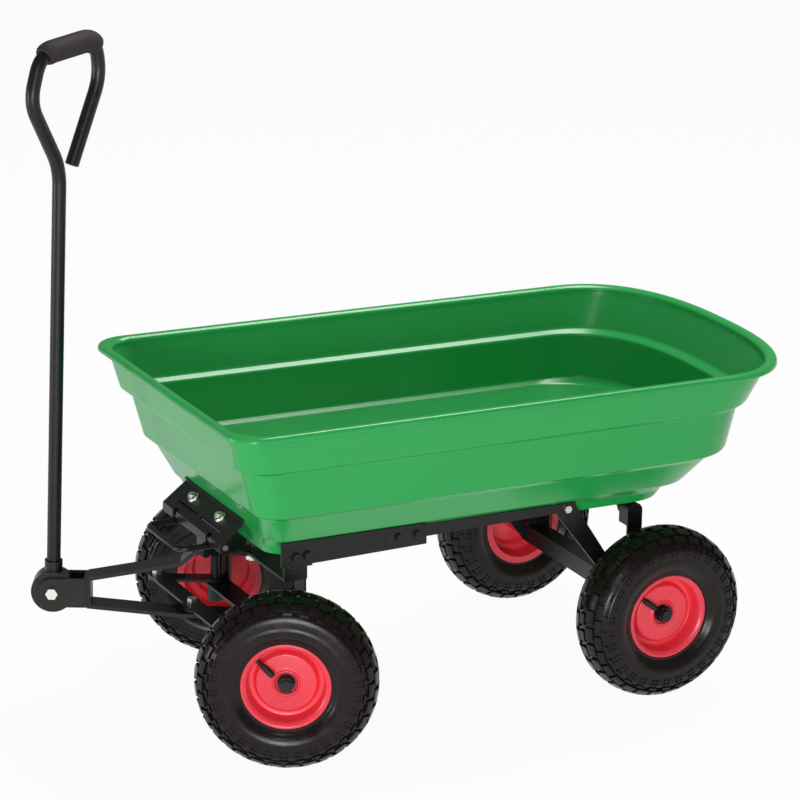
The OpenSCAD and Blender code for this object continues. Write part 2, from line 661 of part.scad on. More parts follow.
module latch_bracket() {
    half = latch_w / 2;
    color(black) at_latch() difference() {
        union() {
            slab(strip(latch_path(), -shelf_t), -half, half);
            mirrored() slab([latch_path()[1] + [0, -1.5], latch_path()[2] + [-1.5, -1.5],
                [latch_x - 12, latch_z - 7], [latch_pin_x - 7, latch_z - 7]], cheek_y, cheek_y + shelf_t);
        }
        translate([latch_pin_x, 0, latch_z]) rod_y(pin_r - 1 + 0.02, -half, half);
        mirrored() block(latch_x - 16, latch_x + 4, leg_y - loop_rod / 2 - 1.5, leg_y + loop_rod / 2 + 1.5, -1, 12);
        mirrored() translate([bracket_bolt[0], 46, bracket_bolt[1]]) rotate([0, bracket_tilt, 0]) rod_z(bolt_r + 0.02, -9, 9);
    }
}
bracket_bolt = (latch_path()[1] + latch_path()[2]) / 2;
bracket_tilt = atan2(latch_path()[1][1] - latch_path()[2][1], latch_path()[2][0] - latch_path()[1][0]);

module latch_bracket_bolts() {
    color(zinc) at_latch() mirrored() translate([bracket_bolt[0], 46, bracket_bolt[1]]) rotate([0, bracket_tilt, 0]) {
        rod_z(bolt_r, -8, 0.01);
        hex_z(bolt_r + 3, 0, 5);
        hex_z(bolt_r + 3, -9, -3.1);
    }
}

module latch_pin() {
    end = latch_loop_w / 2 + 14;
    color(zinc) at_latch() translate([latch_pin_x, 0, latch_z]) rod_y(pin_r - 1, -end, end);
}

module latch_loop() {
    reach = latch_reach + 20;
    half = leg_y;
    corner = 16;
    color(black) at_latch() translate([latch_pin_x, 0, latch_z]) difference() {
        union() {
            rod_y(7, -half - 6, half + 6);
            mirrored() translate([0, half, 0]) rotate([0, 90, 0]) cylinder(d = loop_rod, h = reach - corner);
            mirrored() translate([reach - corner, half - corner, 0]) rotate_extrude(angle = 90)
                translate([corner, 0]) circle(d = loop_rod);
            translate([reach, 0, 0]) rod_y(loop_rod / 2, -half + corner, half - corner);
            slab([[-4.4, 0], [6, 0], [4, -hook_l], [-4.4, -hook_l]], -12, 12);
        }
        rod_y(pin_r - 1 + run, -half - 9, half + 9);
    }
}

module latch_catch() {
    x0 = wheelbase + beam_d / 2;
    x1 = latch_pin_x - 5;
    color(black) block(x0 - 7, x1, -20, 20, cross_z + 0.02, cross_z + 0.02 + plate_t);
}

module wheel_part(kind, end, side) {
    if (end == "front") at_front(side) one_part(kind);
    else at_rear(side) one_part(kind);
}
module one_part(kind) {
    if (kind == "tyre") tyre();
    if (kind == "rim") rim();
    if (kind == "inner_tube") inner_tube();
    if (kind == "bushes") bushes();
}

tub();
hinge_brackets();
hinge_bracket_bolts();
latch_bracket();
latch_bracket_bolts();
latch_pin();
latch_loop();
front_rail();  // front_rail_left
mirror([0, 1, 0]) front_rail();  // front_rail_right
rear_rail();  // rear_rail_left
mirror([0, 1, 0]) rear_rail();  // rear_rail_right
rail_joint_bolts();
front_frame();
front_frame_bolts();
latch_catch();
tongue_pivot_bolts();
rear_frame();
rear_axle();
for (s = [-1, 1]) at_rear(s) wheel_nut();  // rear_axle_nuts
brace();  // brace_left
mirror([0, 1, 0]) brace();  // brace_right
brace_bolts();
hinge_pins();
tongue();
handle_bracket();
handle_pivot_bolt();
handle_drum();
handle_tube();
handle_grip();
at_knuckle(1) knuckle();  // knuckle_left
at_knuckle(-1) knuckle();  // knuckle_right
at_front(1) wheel_nut();  // knuckle_nut_left
at_front(-1) wheel_nut();  // knuckle_nut_right
tie_rod();
tie_rod_bolts();
wheel_part("tyre", "front", 1);  // tyre_front_left
wheel_part("rim", "front", 1);  // rim_front_left
wheel_part("inner_tube", "front", 1);  // inner_tube_front_left
wheel_part("bushes", "front", 1);  // bushes_front_left
wheel_part("tyre", "front", -1);  // tyre_front_right
wheel_part("rim", "front", -1);  // rim_front_right
wheel_part("inner_tube", "front", -1);  // inner_tube_front_right
wheel_part("bushes", "front", -1);  // bushes_front_right
wheel_part("tyre", "rear", 1);  // tyre_rear_left
wheel_part("rim", "rear", 1);  // rim_rear_left
wheel_part("inner_tube", "rear", 1);  // inner_tube_rear_left
wheel_part("bushes", "rear", 1);  // bushes_rear_left
wheel_part("tyre", "rear", -1);  // tyre_rear_right
wheel_part("rim", "rear", -1);  // rim_rear_right
wheel_part("inner_tube", "rear", -1);  // inner_tube_rear_right
wheel_part("bushes", "rear", -1);  // bushes_rear_right
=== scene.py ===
"""Looks of a four-wheeled tipping dump cart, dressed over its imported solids."""
import json
import logging
import math
from dataclasses import dataclass
from enum import Enum
from typing import Any, Sequence

import bmesh
import bpy
from mathutils import Matrix, Vector


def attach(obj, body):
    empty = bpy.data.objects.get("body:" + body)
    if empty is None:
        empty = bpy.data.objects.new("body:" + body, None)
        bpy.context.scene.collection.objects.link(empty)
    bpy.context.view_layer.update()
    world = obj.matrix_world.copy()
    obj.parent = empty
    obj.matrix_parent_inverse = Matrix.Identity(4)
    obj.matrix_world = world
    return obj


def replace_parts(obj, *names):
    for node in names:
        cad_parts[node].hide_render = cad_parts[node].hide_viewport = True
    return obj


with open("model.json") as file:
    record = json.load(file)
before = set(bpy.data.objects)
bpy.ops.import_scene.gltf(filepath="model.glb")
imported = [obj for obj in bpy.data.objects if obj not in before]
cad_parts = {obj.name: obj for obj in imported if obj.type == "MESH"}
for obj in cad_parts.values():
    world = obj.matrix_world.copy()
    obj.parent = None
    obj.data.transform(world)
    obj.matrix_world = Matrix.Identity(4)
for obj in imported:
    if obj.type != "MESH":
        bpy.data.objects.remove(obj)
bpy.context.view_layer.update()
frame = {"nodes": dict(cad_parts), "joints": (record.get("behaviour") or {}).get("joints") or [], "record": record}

logging.basicConfig(level=logging.INFO, format="%(message)s")
log = logging.getLogger("cart")

MM = 0.001
Pair = tuple[float, float]
Point = tuple[float, float, float]
Colour = tuple[float, float, float]
Band = tuple[float, float, float, float]
Corner = tuple[float, ...]
Mesh = tuple[list[Point], list[list[int]]]


class Value:
    """A shader socket that takes part in Python arithmetic."""

    def __init__(self, graph: "Graph", socket: Any) -> None:
        """Wraps a socket of a graph.

        Args:
            graph: The graph that new Math nodes are added to.
            socket: The output socket to wrap.
        """
        self.graph = graph
        self.socket = socket

    def _maths(self, operation: str, a: Any, b: Any) -> "Value":
        """One Math node on two operands, each a number or a Value."""
        return self.graph.node("ShaderNodeMath", {"operation": operation}, {0: a, 1: b})

    def __add__(self, other: Any) -> "Value":
        """Sum."""
        return self._maths("ADD", self, other)

    __radd__ = __add__

    def __sub__(self, other: Any) -> "Value":
        """Difference."""
        return self._maths("SUBTRACT", self, other)

    def __rsub__(self, other: Any) -> "Value":
        """Difference from a number."""
        return self._maths("SUBTRACT", other, self)

    def __mul__(self, other: Any) -> "Value":
        """Product."""
        return self._maths("MULTIPLY", self, other)

    __rmul__ = __mul__


class Graph:
    """The node tree of one material."""

    def __init__(self, name: str) -> None:
        """Makes a material with a Principled shader.

        Args:
            name: The material's name.
        """
        self.material = bpy.data.materials.new(name)
        self.material.use_nodes = True
        self.tree = self.material.node_tree
        self.shader = self.tree.nodes["Principled BSDF"]

    def node(self, kind: str, settings: dict[str, Any] | None = None,
             sockets: dict[Any, Any] | None = None, output: Any = 0) -> Value:
        """Adds any node, with its settings first and its sockets after.

        Args:
            kind: The node's type.
            settings: Attributes of the node.
            sockets: Values or links by socket name or number.
            output: The output to return, by name or number.

        Returns:
            The chosen output.
        """
        made = self.tree.nodes.new(kind)
        for key, setting in (settings or {}).items():
            setattr(made, key, setting)
        for key, value in (sockets or {}).items():
            self.feed(made.inputs[key], value)
        return Value(self, made.outputs[output])

    def feed(self, socket: Any, value: Any) -> None:
        """Sets or links one input socket.

        Args:
            socket: The input socket.
            value: A Value to link, or a constant to set.
        """
        if isinstance(value, Value):
            self.tree.links.new(value.socket, socket)
        else:
            socket.default_value = value

    def surface(self, **inputs: Any) -> None:
        """Feeds the shader's sockets; spaces in their names are written as underscores."""
        for key, value in inputs.items():
            self.feed(self.shader.inputs[key.replace("_", " ")], value)

    def place(self) -> Value:
        """The object coordinates, in metres."""
        return self.node("ShaderNodeTexCoord", output="Object")

    def noise(self, place: Value, scale: float, detail: float = 2.0) -> Value:
        """Cloudy noise from 0 to 1 at a scale per metre."""
        return self.node("ShaderNodeTexNoise", None, {"Vector": place, "Scale": scale, "Detail": detail})

    def between(self, value: Value, low: float, high: float) -> Value:
        """A mask that rises from 0 at low to 1 at high."""
        return self.node("ShaderNodeMapRange", {"interpolation_type": "SMOOTHSTEP"},
                         {"Value": value, "From Min": low, "From Max": high})

    def blend(self, factor: Any, a: Any, b: Any) -> Value:
        """A colour mixed from a to b."""
        return self.node("ShaderNodeMix", {"data_type": "RGBA"}, {0: factor, 6: a, 7: b}, 2)

    def bump(self, height: Value, strength: float, depth_mm: float) -> Value:
        """A normal bent by a height."""
        return self.node("ShaderNodeBump", None,
                         {"Strength": strength, "Distance": depth_mm * MM, "Height": height})


def tint(colour: Colour, gain: float = 1.0) -> tuple[float, float, float, float]:
    """A colour with alpha, made lighter or darker by a gain."""
    return (*(min(1.0, c * gain) for c in colour), 1.0)


@dataclass(frozen=True)
class MouldedPlastic:
    """Injection-moulded plastic with a faint flow pattern and fine scuffs."""

    name: str
    colour: Colour
    gloss: float
    shine: float = 0.4
    flow_rough: float = 0.05
    scuff_rough: float = 0.06
    scuff_pale: float = 0.12

    def material(self) -> Any:
        """Builds the material.

        Returns:
            The Blender material.
        """
        g = Graph(self.name)
        place = g.place()
        flow = g.noise(place, scale=4.0, detail=3.0)
        grain = g.noise(place, scale=900.0)
        scuff = g.between(g.noise(place, scale=24.0, detail=5.0), low=0.6, high=0.85)
        pigment = g.blend(flow, tint(self.colour, gain=0.94), tint(self.colour, gain=1.06))
        g.surface(Base_Color=g.blend(scuff * self.scuff_pale, pigment, tint(self.colour, gain=1.2)),
                  Roughness=self.gloss + scuff * self.scuff_rough + flow * self.flow_rough,
                  Normal=g.bump(grain, strength=0.12, depth_mm=0.12), Specular_IOR_Level=self.shine)
        return g.material


@dataclass(frozen=True)
class PowderCoat:
    """Powder paint over steel: a soft orange peel and a little dust."""

    name: str
    colour: Colour
    gloss: float
    wear: float
    shine: float = 0.5
    cloud_rough: float = 0.1
    dust_rough: float = 0.3
    dust_colour: Colour = (0.3, 0.29, 0.28)

    def material(self) -> Any:
        """Builds the material.

        Returns:
            The Blender material.
        """
        g = Graph(self.name)
        place = g.place()
        peel = g.noise(place, scale=420.0)
        cloud = g.noise(place, scale=14.0, detail=4.0)
        dust = g.between(g.noise(place, scale=130.0, detail=6.0), low=0.64, high=0.74) * self.wear
        base = g.blend(cloud, tint(self.colour, gain=0.85), tint(self.colour, gain=1.15))
        g.surface(Base_Color=g.blend(dust, base, tint(self.dust_colour)),
                  Roughness=self.gloss + cloud * self.cloud_rough + dust * self.dust_rough,
                  Normal=g.bump(peel, strength=0.3, depth_mm=0.25), Specular_IOR_Level=self.shine)
        return g.material


@dataclass(frozen=True)
class ZincPlate:
    """Bright zinc plate, with dull patches and a trace of yellow."""

    name: str
    colour: Colour = (0.78, 0.78, 0.75)
    dull_colour: Colour = (0.62, 0.6, 0.52)
    gloss: float = 0.24
    patch_rough: float = 0.2

    def material(self) -> Any:
        """Builds the material.

        Returns:
            The Blender material.
        """
        g = Graph(self.name)
        place = g.place()
        patch = g.noise(place, scale=160.0, detail=4.0)
        streak = g.noise(place, scale=1500.0)
        g.surface(Base_Color=g.blend(patch, tint(self.colour), tint(self.dull_colour)),
                  Metallic=1.0, Roughness=self.gloss + patch * self.patch_rough,
                  Normal=g.bump(streak, strength=0.12, depth_mm=0.08))
        return g.material


@dataclass(frozen=True)
class Rubber:
    """Black rubber or foam with a fine grain and a little dust."""

    name: str
    colour: Colour
    roughness: float
    grain: float
    depth_mm: float
    shine: float = 0.3
    dust_rough: float = 0.12
    dust_pale: float = 0.35

    def material(self) -> Any:
        """Builds the material.

        Returns:
            The Blender material.
        """
        g = Graph(self.name)
        place = g.place()
        grain = g.noise(place, scale=self.grain, detail=3.0)
        dust = g.between(g.noise(place, scale=38.0, detail=6.0), low=0.5, high=0.72)
        g.surface(Base_Color=g.blend(dust * self.dust_pale, tint(self.colour), tint(self.colour, gain=2.4)),
                  Roughness=self.roughness + dust * self.dust_rough,
                  Normal=g.bump(grain, strength=0.35, depth_mm=self.depth_mm), Specular_IOR_Level=self.shine)
        return g.material


class Slot(Enum):
    """The record's material slots, each with its finish."""

    TUB = ("tub", MouldedPlastic("tub_green", (0.022, 0.4, 0.085), gloss=0.2, shine=0.36))
    FRAME = ("frame", PowderCoat("frame_black", (0.006, 0.006, 0.006), gloss=0.3, wear=0.12, shine=0.35))
    RIM = ("rim", PowderCoat("rim_red", (0.92, 0.05, 0.08), gloss=0.25, wear=0.05))
    ZINC = ("zinc", ZincPlate("zinc_plate"))
    TYRE = ("tyre", Rubber("tyre_rubber", (0.009, 0.0062, 0.0052), roughness=0.24, grain=700.0, depth_mm=0.12,
                           shine=0.24))
    INNER_TUBE = ("inner_tube", Rubber("tube_rubber", (0.014, 0.014, 0.014), roughness=0.5, grain=1200.0,
                                       depth_mm=0.1))
    GRIP = ("grip", Rubber("grip_foam", (0.035, 0.028, 0.027), roughness=0.7, grain=1600.0, depth_mm=0.4))
    BUSH = ("bush", MouldedPlastic("bush_nylon", (0.72, 0.69, 0.6), gloss=0.45))

    @property
    def slot(self) -> str:
        """The slot's name in the record."""
        return self.value[0]


def add_object(name: str, data: Any) -> Any:
    """Links a new object to the scene.

    Args:
        name: The object's name.
        data: Its mesh, lamp or camera.

    Returns:
        The Blender object.
    """
    made = bpy.data.objects.new(name, data)
    bpy.context.scene.collection.objects.link(made)
    return made


class Workshop:
    """Makes meshes and dresses pieces, with one material for each slot."""

    # Fasteners and axles that are painted with the frame.
    painted: dict[str, str] = dict.fromkeys(
        ("hinge_pins", "knuckle_nut_left", "knuckle_nut_right", "rear_axle", "rear_axle_nuts",
         "rail_joint_bolts", "front_frame_bolts"), "frame")

    def __init__(self) -> None:
        """Builds every finish once."""
        self.materials: dict[str, Any] = {s.slot: s.value[1].material() for s in Slot}

    def dress_nodes(self) -> None:
        """Gives each solid the finish of its slot in the record, or the frame's paint."""
        for part in frame["record"]["subparts"]:
            node = frame["nodes"][part["node"]]
            node.data.materials.clear()
            slot = self.painted.get(part["node"], part["material_slot"])
            node.data.materials.append(self.materials[slot])

    def piece(self, name: str, points: Sequence[Point], faces: Sequence[Sequence[int]], slot: Slot, body: str,
              smooth_deg: float, bevel_mm: float = 0.0) -> Any:
        """Makes a piece that rides on a body.

        Args:
            name: The piece's name.
            points: Its points, in metres.
            faces: Its faces, as lists of point numbers.
            slot: The material slot.
            body: The body that carries it.
            smooth_deg: Edges flatter than this are shaded smooth.
            bevel_mm: Width of a bevel on its sharp edges, or 0.

        Returns:
            The Blender object.
        """
        mesh = bpy.data.meshes.new(name)
        mesh.from_pydata(points, [], faces)
        outward = bmesh.new()
        outward.from_mesh(mesh)
        bmesh.ops.recalc_face_normals(outward, faces=outward.faces)
        outward.to_mesh(mesh)
        outward.free()
        mesh.set_sharp_from_angle(angle=math.radians(smooth_deg))
        mesh.polygons.foreach_set("use_smooth", [True] * len(mesh.polygons))
        mesh.materials.append(self.materials[slot.slot])
        made = add_object(name, mesh)
        if bevel_mm:
            rounding = made.modifiers.new("edges", "BEVEL")
            rounding.width = bevel_mm * MM
            rounding.segments = 2
            rounding.limit_method = "ANGLE"
        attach(made, body)
        log.info("made %s, %d faces, on %s", name, len(faces), body)
        return made


def skin(rings: Sequence[Sequence[Point]], close: bool) -> Mesh:
    """Joins a row of rings into a skin of quads.

    Args:
        rings: Rings of the same number of points.
        close: Whether the last ring joins the first; if not, both ends are capped.

    Returns:
        The points and the faces.
    """
    n = len(rings[0])
    points = [p for ring in rings for p in ring]
    count = len(rings)
    faces = []
    for k in range(count if close else count - 1):
        a, b = k * n, (k + 1) % count * n
        faces += [[a + i, a + (i + 1) % n, b + (i + 1) % n, b + i] for i in range(n)]
    if not close:
        faces += [list(range(n - 1, -1, -1)), [(count - 1) * n + i for i in range(n)]]
    return points, faces


def join(meshes: Sequence[Mesh]) -> Mesh:
    """Joins meshes into one.

    Args:
        meshes: The points and the faces of each.

    Returns:
        The points and the faces of all.
    """
    points: list[Point] = []
    faces: list[list[int]] = []
    for more, sides in meshes:
        base = len(points)
        points += more
        faces += [[base + i for i in side] for side in sides]
    return points, faces


def round_corners(corners: Sequence[Corner], radius: float, steps: int = 4) -> list[Corner]:
    """Rounds each corner of an open line with a short curve.

    Args:
        corners: The line's corners.
        radius: How far along each side a curve starts.
        steps: Points on each curve, less one.

    Returns:
        The rounded line.
    """
    most_of_side = 0.45
    done = [corners[0]]
    for a, b, c in zip(corners, corners[1:], corners[2:]):
        reach = []
        for other in (a, c):
            span = math.dist(b, other)
            reach.append([p + (q - p) * min(most_of_side, radius / span) for p, q in zip(b, other)])
        for k in range(steps + 1):
            t = k / steps
            done.append(tuple((1 - t) ** 2 * p + 2 * t * (1 - t) * q + t * t * r
                              for p, q, r in zip(reach[0], b, reach[1])))
    return done + [corners[-1]]


@dataclass
class Tub:
    """The stepped tub, with rounded steps and a rolled lip. Sizes in millimetres.

    A row of walls is a height, a half width and the insets of the front and rear edges from the lip's root.
    A row of roll is a distance outwards and a rise, both from the highest row of walls.
    """

    length: float = 946.0
    front: float = 706.0
    lip: float = 13.0
    seat_x: float = 112.0
    seat_z: float = 280.5
    pitch: float = 1.22
    wall: float = 4.0
    rounding: float = 4.0
    corner: float = 30.0
    corner_growth: float = 0.08
    corner_steps: int = 12
    bow_depth: float = 0.62
    bow_power: float = 0.8
    bow_steps: int = 36
    lined_from: int = 4
    lining_drop: float = 1.0
    lining_rise: float = 2.0
    walls: tuple[Band, ...] = (
        (0, 150, 93, 147), (12, 152, 89, 137), (26.5, 166.5, 82, 122), (29, 179, 80, 110), (74, 212, 59, 74),
        (80, 220, 47, 54), (148, 227, 27, 40), (154, 237, 14, 27), (206, 250, 0, 0))
    roll: tuple[Pair, ...] = ((1, 4), (8, 5), (9, 1), (12, 1), (13, 3), (12, 8), (9, 10), (2, 10), (-4, 6))

    def bands(self) -> list[Band]:
        """The outer corners.

        Returns:
            Rows of height, half width, front edge and rear edge.
        """
        front = self.front - self.lip
        rear = self.front - self.length + self.lip
        return [(h, w, front - ahead, rear + behind) for h, w, ahead, behind in self.walls]

    @staticmethod
    def offset(band: Band, out: float, height: float) -> Band:
        """A band moved outwards, at another height."""
        return (height, band[1] + out, band[2] + out, band[3] - out)

    def profile(self) -> list[Band]:
        """The whole profile, from the bottom's underside round the lip to the upper side of the floor.

        Returns:
            Rows of height, half width, front edge and rear edge.
        """
        bands = self.bands()
        bottom, foot, top = bands[0], bands[1], bands[-1]
        lip = [self.offset(top, out, top[0] + rise) for out, rise in self.roll]
        lined = reversed(bands[self.lined_from:])
        inner = [self.offset(b, -self.wall, b[0] - self.lining_drop) for b in lined]
        floor = [self.offset(foot, -self.wall, foot[0] + self.lining_rise),
                 self.offset(bottom, -self.wall, self.wall)]
        return bands + lip + inner + floor

    def ring(self, band: Band) -> list[Point]:
        """One ring of points: a square front with round corners and a bowed rear.

        Args:
            band: Height, half width, front edge and rear edge.

        Returns:
            The ring in the cart's frame, in metres.
        """
        h, w, x1, x0 = band
        corner = self.corner + h * self.corner_growth
        bow = x0 + w * self.bow_depth
        quarter = [math.radians(90 * i / self.corner_steps) for i in range(self.corner_steps + 1)]
        rear = [math.radians(90 * i / self.bow_steps) for i in range(self.bow_steps)]
        half = [(x1 - corner + corner * math.cos(a), w - corner + corner * math.sin(a)) for a in quarter]
        half += [(bow - (bow - x0) * math.sin(a) ** self.bow_power, w * math.cos(a) ** self.bow_power)
                 for a in rear]
        outline = half + [(x0, 0.0)] + [(x, -y) for x, y in reversed(half)]
        return [self.spot(x, y, h) for x, y in outline]

    def spot(self, x: float, y: float, h: float) -> Point:
        """A point at a height over the tub's bottom, in the cart's frame and in metres."""
        p = math.radians(self.pitch)
        return ((self.seat_x + (x - self.seat_x) * math.cos(p) - h * math.sin(p)) * MM, y * MM,
                (self.seat_z + (x - self.seat_x) * math.sin(p) + h * math.cos(p)) * MM)

    def build(self, shop: Workshop) -> None:
        """Makes the tub in place of its solid.

        Args:
            shop: The workshop.
        """
        points, faces = skin([self.ring(b) for b in round_corners(self.profile(), self.rounding)], False)
        made = shop.piece("tub_skin", points, faces, Slot.TUB, "tub", 35.0)
        made.modifiers.new("even", "WEIGHTED_NORMAL").keep_sharp = True
        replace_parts(made, "tub")


@dataclass
class LatchBracket:
    """The slotted sheet bracket at the tub's front, with its cheeks and bolts. Sizes in millimetres.

    A point of line or cheek is a place ahead and a height, as the tub measures them. A row of bolt_rows is a
    low end and a high end along the bolt, a radius and a number of sides: the head, the washer, the nut and
    the thread's end.
    """

    tub: Tub
    half: float = 100.0
    sheet: float = 3.0
    line: tuple[Pair, ...] = ((621.2, 40.5), (619, 36), (655, 8), (655, -5))
    mitre: tuple[Pair, ...] = ((-1.0, 0.4), (-0.2, -1.2), (-1.0, -0.6), (-1.0, 0.0))
    slot_at: Pair = (28.0, 31.5)
    slot_y: Pair = (8.0, 72.0)
    slot_row: int = 2
    notch_at: float = 39.1
    notch_y: Pair = (51.5, 63.5)
    notch_row: int = 4
    cheek: tuple[Pair, ...] = ((619, 34.5), (653.5, 6.5), (643, -15), (628, -15))
    cheek_y: float = 70.0
    bolt: Pair = (629.9, 27.5)
    bolt_y: float = 46.0
    slope: Pair = (0.789, -0.614)
    bolt_rows: tuple[tuple[float, float, float, int], ...] = (
        (-9, -3, 7, 6), (0, 1.6, 9, 24), (0, 7, 7, 6), (0, 10, 3.7, 16))

    def stations(self) -> list[tuple[Pair, Pair]]:
        """The sheet's rows, from the flange down to the lip.

        Returns:
            A point on the outer face and one on the inner face for each row.
        """
        top, bend, edge, low = self.line
        inner = [(x + self.sheet * a, h + self.sheet * b) for (x, h), (a, b) in zip(self.line, self.mitre)]
        shelf = ((bend, edge), (inner[1], inner[2]))
        rows = [(top, inner[0]), (bend, inner[1])]
        for at in (*self.slot_at, self.notch_at):
            t = at / math.dist(bend, edge)
            rows.append(tuple(tuple(p + (q - p) * t for p, q in zip(a, b)) for a, b in shelf))
        return rows + [(edge, inner[2]), (low, inner[3])]

    def is_open(self, row: int, y: float) -> bool:
        """Whether a cell of the sheet is cut away by a slot or a notch."""
        slot = row == self.slot_row and self.slot_y[0] < abs(y) < self.slot_y[1]
        return slot or (row >= self.notch_row and self.notch_y[0] < abs(y) < self.notch_y[1])

    def sheet_mesh(self) -> Mesh:
        """The bent sheet, with its slots and notches open.

        Returns:
            The points and the faces.
        """
        rows = self.stations()
        across = sorted({side * y for y in (*self.slot_y, *self.notch_y, self.half) for side in (1, -1)})
        cells = [(i, j) for i in range(len(rows) - 1) for j in range(len(across) - 1)
                 if not self.is_open(i, (across[j] + across[j + 1]) / 2)]
        points = [self.tub.spot(row[face][0], y, row[face][1])
                  for face in (0, 1) for row in rows for y in across]
        n = len(across)
        shift = len(rows) * n
        faces = []
        for i, j in cells:
            a, b, c, d = i * n + j, i * n + j + 1, (i + 1) * n + j + 1, (i + 1) * n + j
            faces += [[a, b, c, d], [d + shift, c + shift, b + shift, a + shift]]
            edges = {(i - 1, j): (a, b), (i, j + 1): (b, c), (i + 1, j): (c, d), (i, j - 1): (d, a)}
            faces += [[q, p, p + shift, q + shift] for beside, (p, q) in edges.items() if beside not in cells]
        return points, faces

    def cheek_mesh(self, side: int) -> Mesh:
        """The plate below the shelf on one side, 1 for the left and -1 for the right."""
        depths = (self.cheek_y, self.cheek_y + self.sheet)
        return skin([[self.tub.spot(x, side * y, h) for x, h in self.cheek] for y in depths], False)

    def bolt_mesh(self, side: int) -> Mesh:
        """The bolt on one side, square to the shelf.

        Args:
            side: 1 for the left and -1 for the right.

        Returns:
            The points and the faces.
        """
        (bx, bh), (ux, uh) = self.bolt, self.slope
        bodies = []
        for low, high, r, n in self.bolt_rows:
            turns = [math.tau * k / n for k in range(n)]
            rings = [[self.tub.spot(bx + ux * r * math.cos(a) - uh * z, side * self.bolt_y + r * math.sin(a),
                                    bh + uh * r * math.cos(a) + ux * z) for a in turns] for z in (low, high)]
            bodies.append(skin(rings, False))
        return join(bodies)

    def build(self, shop: Workshop) -> None:
        """Makes the bracket and its bolts in place of their solids.

        Args:
            shop: The workshop.
        """
        points, faces = join([self.sheet_mesh(), self.cheek_mesh(1), self.cheek_mesh(-1)])
        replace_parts(shop.piece("bracket_sheet", points, faces, Slot.FRAME, "tub", 30.0, 0.6), "latch_bracket")
        points, faces = join([self.bolt_mesh(1), self.bolt_mesh(-1)])
        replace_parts(shop.piece("bracket_bolts", points, faces, Slot.ZINC, "tub", 30.0, 0.4),
                    "latch_bracket_bolts")


@dataclass
class Handle:
    """The bent handle tube with its foam sleeve. Sizes in millimetres.

    A corner is a place across the loop and a height over the pivot. The sleeve covers a run of the rounded
    line's points, from the third bend into the fourth.
    """

    pivot: Point = (812.86, -138.38, 178.0)
    steer_deg: float = -28.5
    lean_deg: float = -2.0
    turn_deg: float = 55.0
    tube_r: float = 10.0
    bore_r: float = 8.0
    bend: float = 26.0
    bend_steps: int = 12
    sides: int = 28
    corners: tuple[Pair, ...] = (
        (0, 21.02), (0, 631), (63, 734), (43, 798.5), (-71, 805.5), (-83, 750), (-25.8, 630.6))
    sleeve_r: float = 16.3
    sleeve_gap: float = 0.1
    sleeve_run: tuple[int, int] = (34, 49)
    end_narrowing: float = 0.16
    end_falloff: float = 1.2

    def stance(self) -> Matrix:
        """The turn from the loop's plane to the cart's frame, in millimetres."""
        return (Matrix.Translation(self.pivot) @ Matrix.Rotation(math.radians(self.steer_deg), 4, "Z")
                @ Matrix.Rotation(math.radians(self.lean_deg), 4, "Y")
                @ Matrix.Rotation(math.radians(self.turn_deg), 4, "Z"))

    def ring(self, at: Pair, heading: Pair, radius: float) -> list[Point]:
        """One ring of points round the tube's middle line.

        Args:
            at: A place on the line, across and up.
            heading: The line's direction there.
            radius: The ring's radius.

        Returns:
            The ring in the cart's frame, in metres.
        """
        size = math.hypot(*heading)
        side = (-heading[1] / size, heading[0] / size)
        stance = self.stance()
        spots = [stance @ Vector((at[0] + side[0] * radius * math.cos(a), radius * math.sin(a),
                                  at[1] + side[1] * radius * math.cos(a)))
                 for a in (math.tau * k / self.sides for k in range(self.sides))]
        return [tuple(v * MM) for v in spots]

    def hollow(self, line: Sequence[Corner], radii: Sequence[float], bore: float) -> Mesh:
        """A pipe along a line.

        Args:
            line: Points of its middle line, across and up.
            radii: Its outer radius at each point.
            bore: Its inner radius.

        Returns:
            The points and the faces.
        """
        ends = [line[0], *line, line[-1]]
        steps = [(p, (b[0] - a[0], b[1] - a[1]), r) for a, p, b, r in zip(ends, line, ends[2:], radii)]
        outer = [self.ring(p, heading, r) for p, heading, r in steps]
        inner = [self.ring(p, heading, bore) for p, heading, _ in reversed(steps)]
        return skin(outer + inner, True)

    def build(self, shop: Workshop) -> None:
        """Makes the tube and the sleeve in place of their solids.

        Args:
            shop: The workshop.
        """
        line = round_corners(self.corners, self.bend, self.bend_steps)
        points, faces = self.hollow(line, [self.tube_r] * len(line), self.bore_r)
        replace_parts(shop.piece("bent_tube", points, faces, Slot.FRAME, "handle", 40.0), "handle_tube")
        run = line[slice(*self.sleeve_run)]
        last = len(run) - 1
        radii = [self.sleeve_r * (1 - self.end_narrowing * math.exp(-min(k, last - k) * self.end_falloff))
                 for k in range(len(run))]
        points, faces = self.hollow(run, radii, self.tube_r + self.sleeve_gap)
        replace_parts(shop.piece("foam_sleeve", points, faces, Slot.GRIP, "handle", 50.0), "handle_grip")


